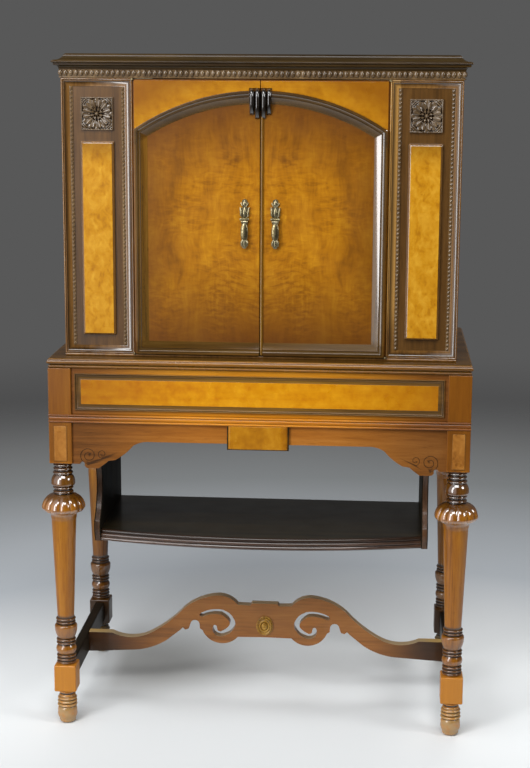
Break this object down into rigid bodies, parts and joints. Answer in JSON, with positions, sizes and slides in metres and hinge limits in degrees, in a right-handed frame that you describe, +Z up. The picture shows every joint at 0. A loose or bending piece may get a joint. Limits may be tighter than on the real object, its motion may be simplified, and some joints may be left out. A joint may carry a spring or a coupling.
{
  "type": "two-door cabinet on stand",
  "caption": "Cupboard with a pair of arch-panelled doors between pilasters, on a stand with turned bulb legs, a hung shelf and a pierced scroll stretcher.",
  "frame": {"origin": "on the floor, under the middle of the four legs", "axes": "+Z up, the doors face -Y, +X to the right of someone facing the doors"},
  "size_m": [0.9328, 0.5348, 1.45],
  "materials": {
    "leg_walnut": "polished lacquer",
    "dark_walnut": "polished lacquer, dark stain",
    "maple_veneer": "polished lacquer",
    "burl_veneer": "polished lacquer",
    "door_veneer": "polished lacquer",
    "shelf_stain": "dark stain, satin",
    "inside_wood": "plain, thinly sealed",
    "antique_brass": "aged"
  },
  "bodies": {
    "cabinet": {"apron_tab": "maple_veneer", "back_panel": "inside_wood", "base_fillet": "dark_walnut", "bead_moulding": "dark_walnut", "centre_stretcher": "leg_walnut", "corner_blocks": "inside_wood", "cornice_moulding": "dark_walnut", "cornice_top": "dark_walnut", "door_stop": "inside_wood", "floor_board": "inside_wood", "frieze_banding": "dark_walnut", "frieze_panel": "maple_veneer", "frieze_rail": "leg_walnut", "front_apron": "leg_walnut", "front_left_leg": "leg_walnut", "front_right_leg": "leg_walnut", "head_rail": "inside_wood", "hung_shelf": "shelf_stain", "inner_shelf": "inside_wood", "left_bead_strips": "dark_walnut", "left_case_leaves": "antique_brass", "left_pilaster": "dark_walnut", "left_pilaster_panel": "burl_veneer", "left_shelf_end": "shelf_stain", "left_side_panel": "dark_walnut", "left_side_rail": "leg_walnut", "left_side_stretcher": "leg_walnut", "post_panels": "burl_veneer", "rear_left_leg": "leg_walnut", "rear_rail": "leg_walnut", "rear_right_leg": "leg_walnut", "right_bead_strips": "dark_walnut", "right_case_leaves": "antique_brass", "right_pilaster": "dark_walnut", "right_pilaster_panel": "burl_veneer", "right_shelf_end": "shelf_stain", "right_side_panel": "dark_walnut", "right_side_rail": "leg_walnut", "right_side_stretcher": "leg_walnut", "rosettes": "dark_walnut", "shelf_cleats": "inside_wood", "stretcher_boss": "burl_veneer", "table_top": "leg_walnut", "waist_moulding": "dark_walnut"},
    "left_door": {"left_door_slab": "door_veneer", "left_spandrel": "maple_veneer", "left_door_moulding": "dark_walnut", "left_keystone_half": "dark_walnut", "left_pull_plate": "antique_brass", "left_door_leaves": "antique_brass"},
    "right_door": {"right_door_slab": "door_veneer", "right_spandrel": "maple_veneer", "right_door_moulding": "dark_walnut", "right_keystone_half": "dark_walnut", "right_pull_plate": "antique_brass", "right_door_leaves": "antique_brass", "astragal": "dark_walnut"},
    "left_pull": {"left_pull_drop": "antique_brass"},
    "right_pull": {"right_pull_drop": "antique_brass"}
  },
  "joints": [
    {"name": "left_door_swing", "type": "hinge", "parent": "cabinet", "child": "left_door", "pos_m": [-0.2645, -0.211, 1.11], "axis": [0, 0, -1], "range_deg": [0, 110]},
    {"name": "right_door_swing", "type": "hinge", "parent": "cabinet", "child": "right_door", "pos_m": [0.2645, -0.211, 1.11], "axis": [0, 0, 1], "range_deg": [0, 110]},
    {"name": "left_pull_swing", "type": "hinge", "parent": "left_door", "child": "left_pull", "pos_m": [-0.032, -0.215, 1.109], "axis": [-1, 0, 0], "range_deg": [0, 90]},
    {"name": "right_pull_swing", "type": "hinge", "parent": "right_door", "child": "right_pull", "pos_m": [0.032, -0.215, 1.109], "axis": [-1, 0, 0], "range_deg": [0, 90]}
  ]
}
